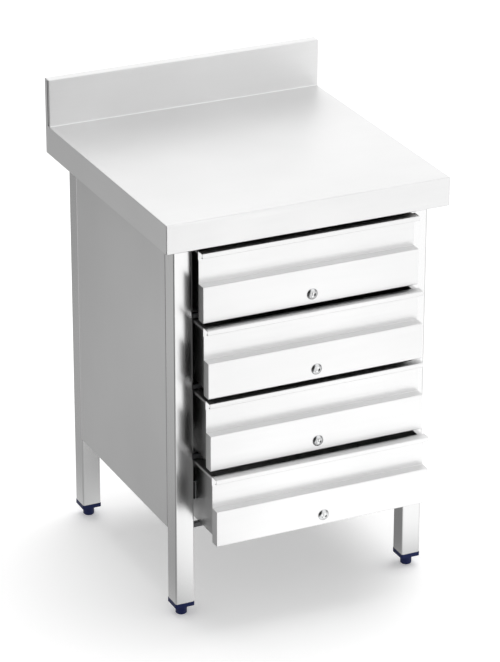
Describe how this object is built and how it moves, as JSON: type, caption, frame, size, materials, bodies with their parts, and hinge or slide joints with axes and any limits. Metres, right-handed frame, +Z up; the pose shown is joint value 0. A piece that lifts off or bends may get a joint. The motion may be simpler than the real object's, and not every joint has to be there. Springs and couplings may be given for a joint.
{
  "type": "work table with drawers",
  "caption": "Stainless steel work table with a rear upstand, closed sides, levelling feet and a stack of lockable drawers on full-extension slides.",
  "frame": {"origin": "on the floor, in the middle of the space that the table and its open drawers take up", "axes": "+X to the table's right as seen from the front, +Y to the rear, +Z up"},
  "size_m": [0.6, 0.6726, 0.955],
  "materials": {
    "worktop_steel": "satin",
    "leg_steel": "satin",
    "panel_steel": "satin",
    "rail_steel": "powder coated",
    "front_steel": "satin",
    "box_steel": "mill",
    "slide_steel": "zinc plated",
    "screw_steel": "zinc plated",
    "lock_chrome": "polished",
    "plug_chrome": "satin",
    "foot_plastic": "moulded",
    "core_board": "raw chipboard"
  },
  "bodies": {
    "frame": {"worktop": "worktop_steel", "worktop_core": "core_board", "frame_screws": "screw_steel", "leg_front_left": "leg_steel", "leg_front_right": "leg_steel", "leg_rear_left": "leg_steel", "leg_rear_right": "leg_steel", "side_panel_left": "panel_steel", "side_panel_right": "panel_steel", "back_panel": "panel_steel", "rail_top_front": "rail_steel", "rail_top_rear": "rail_steel", "rail_top_left": "rail_steel", "rail_top_right": "rail_steel", "rail_bottom_front": "rail_steel", "divider_angles": "rail_steel", "slide_supports": "rail_steel", "slide_screws": "screw_steel", "leg_inserts": "foot_plastic", "drawer_1_slides_outer": "slide_steel", "drawer_2_slides_outer": "slide_steel", "drawer_3_slides_outer": "slide_steel", "drawer_4_slides_outer": "slide_steel"},
    "drawer_1": {"drawer_1_front": "front_steel", "drawer_1_box": "box_steel", "drawer_1_slides_inner": "slide_steel", "drawer_1_lock_case": "lock_chrome", "drawer_1_lock_nut": "screw_steel"},
    "drawer_1_slide_middles": {"drawer_1_slides_middle": "slide_steel"},
    "drawer_1_lock": {"drawer_1_lock_plug": "plug_chrome", "drawer_1_lock_cam": "screw_steel"},
    "drawer_2": {"drawer_2_front": "front_steel", "drawer_2_box": "box_steel", "drawer_2_slides_inner": "slide_steel", "drawer_2_lock_case": "lock_chrome", "drawer_2_lock_nut": "screw_steel"},
    "drawer_2_slide_middles": {"drawer_2_slides_middle": "slide_steel"},
    "drawer_2_lock": {"drawer_2_lock_plug": "plug_chrome", "drawer_2_lock_cam": "screw_steel"},
    "drawer_3": {"drawer_3_front": "front_steel", "drawer_3_box": "box_steel", "drawer_3_slides_inner": "slide_steel", "drawer_3_lock_case": "lock_chrome", "drawer_3_lock_nut": "screw_steel"},
    "drawer_3_slide_middles": {"drawer_3_slides_middle": "slide_steel"},
    "drawer_3_lock": {"drawer_3_lock_plug": "plug_chrome", "drawer_3_lock_cam": "screw_steel"},
    "drawer_4": {"drawer_4_front": "front_steel", "drawer_4_box": "box_steel", "drawer_4_slides_inner": "slide_steel", "drawer_4_lock_case": "lock_chrome", "drawer_4_lock_nut": "screw_steel"},
    "drawer_4_slide_middles": {"drawer_4_slides_middle": "slide_steel"},
    "drawer_4_lock": {"drawer_4_lock_plug": "plug_chrome", "drawer_4_lock_cam": "screw_steel"},
    "foot_front_left": {"foot_front_left": "foot_plastic"},
    "foot_front_right": {"foot_front_right": "foot_plastic"},
    "foot_rear_left": {"foot_rear_left": "foot_plastic"},
    "foot_rear_right": {"foot_rear_right": "foot_plastic"}
  },
  "joints": [
    {"name": "drawer_1_slide", "type": "slide", "parent": "frame", "child": "drawer_1", "axis": [0, -1, 0], "range_m": [-0.024, 0.376]},
    {"name": "drawer_1_middle_slide", "type": "slide", "parent": "frame", "child": "drawer_1_slide_middles", "axis": [0, -1, 0], "range_m": [-0.012, 0.188]},
    {"name": "drawer_1_lock_turn", "type": "hinge", "parent": "drawer_1", "child": "drawer_1_lock", "pos_m": [0, -0.27375, 0.667], "axis": [0, 1, 0], "range_deg": [0, 90]},
    {"name": "drawer_2_slide", "type": "slide", "parent": "frame", "child": "drawer_2", "axis": [0, -1, 0], "range_m": [-0.046, 0.354]},
    {"name": "drawer_2_middle_slide", "type": "slide", "parent": "frame", "child": "drawer_2_slide_middles", "axis": [0, -1, 0], "range_m": [-0.023, 0.177]},
    {"name": "drawer_2_lock_turn", "type": "hinge", "parent": "drawer_2", "child": "drawer_2_lock", "pos_m": [0, -0.29575, 0.518], "axis": [0, 1, 0], "range_deg": [0, 90]},
    {"name": "drawer_3_slide", "type": "slide", "parent": "frame", "child": "drawer_3", "axis": [0, -1, 0], "range_m": [-0.055, 0.345]},
    {"name": "drawer_3_middle_slide", "type": "slide", "parent": "frame", "child": "drawer_3_slide_middles", "axis": [0, -1, 0], "range_m": [-0.0275, 0.1725]},
    {"name": "drawer_3_lock_turn", "type": "hinge", "parent": "drawer_3", "child": "drawer_3_lock", "pos_m": [0, -0.30475, 0.369], "axis": [0, 1, 0], "range_deg": [0, 90]},
    {"name": "drawer_4_slide", "type": "slide", "parent": "frame", "child": "drawer_4", "axis": [0, -1, 0], "range_m": [-0.083, 0.317]},
    {"name": "drawer_4_middle_slide", "type": "slide", "parent": "frame", "child": "drawer_4_slide_middles", "axis": [0, -1, 0], "range_m": [-0.0415, 0.1585]},
    {"name": "drawer_4_lock_turn", "type": "hinge", "parent": "drawer_4", "child": "drawer_4_lock", "pos_m": [0, -0.33275, 0.22], "axis": [0, 1, 0], "range_deg": [0, 90]},
    {"name": "foot_front_left_screw", "type": "slide", "parent": "frame", "child": "foot_front_left", "axis": [0, 0, 1], "range_m": [-0.025, 0]},
    {"name": "foot_front_right_screw", "type": "slide", "parent": "frame", "child": "foot_front_right", "axis": [0, 0, 1], "range_m": [-0.025, 0]},
    {"name": "foot_rear_left_screw", "type": "slide", "parent": "frame", "child": "foot_rear_left", "axis": [0, 0, 1], "range_m": [-0.025, 0]},
    {"name": "foot_rear_right_screw", "type": "slide", "parent": "frame", "child": "foot_rear_right", "axis": [0, 0, 1], "range_m": [-0.025, 0]}
  ],
  "couplings": [
    {"joint": "drawer_1_middle_slide", "follows": "drawer_1_slide", "ratio": 0.5},
    {"joint": "drawer_2_middle_slide", "follows": "drawer_2_slide", "ratio": 0.5},
    {"joint": "drawer_3_middle_slide", "follows": "drawer_3_slide", "ratio": 0.5},
    {"joint": "drawer_4_middle_slide", "follows": "drawer_4_slide", "ratio": 0.5}
  ]
}
